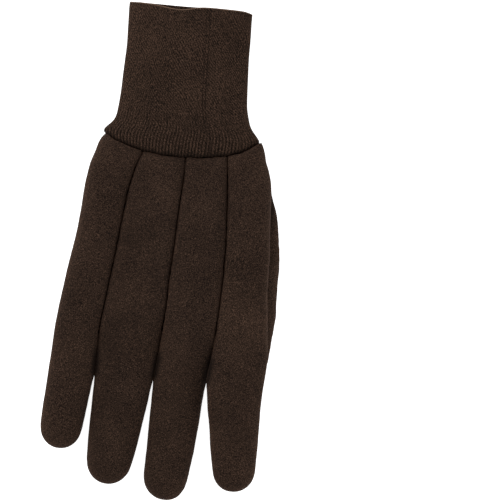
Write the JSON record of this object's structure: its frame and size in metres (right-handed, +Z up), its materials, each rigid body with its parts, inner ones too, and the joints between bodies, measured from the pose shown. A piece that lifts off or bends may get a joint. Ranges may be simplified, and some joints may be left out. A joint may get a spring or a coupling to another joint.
{
  "type": "cotton work glove",
  "caption": "Brown jersey work glove for the right hand with a rib-knit wrist, lying palm down with its thumb folded under the palm",
  "frame": {"origin": "on the table under the middle of the lying glove", "axes": "+Z up through the back of the hand, +Y from the fingertips to the mouth of the wrist, +X towards the index finger and thumb"},
  "size_m": [0.1178, 0.264, 0.0234],
  "materials": {
    "jersey": "fleecy brown cotton jersey",
    "rib_knit": "brown cotton rib knit"
  },
  "bodies": {
    "root": {"palm_wrap": "jersey", "ring_back_strip": "jersey", "middle_back_strip": "jersey", "thumb": "jersey", "knit_wrist": "rib_knit"}
  },
  "joints": []
}
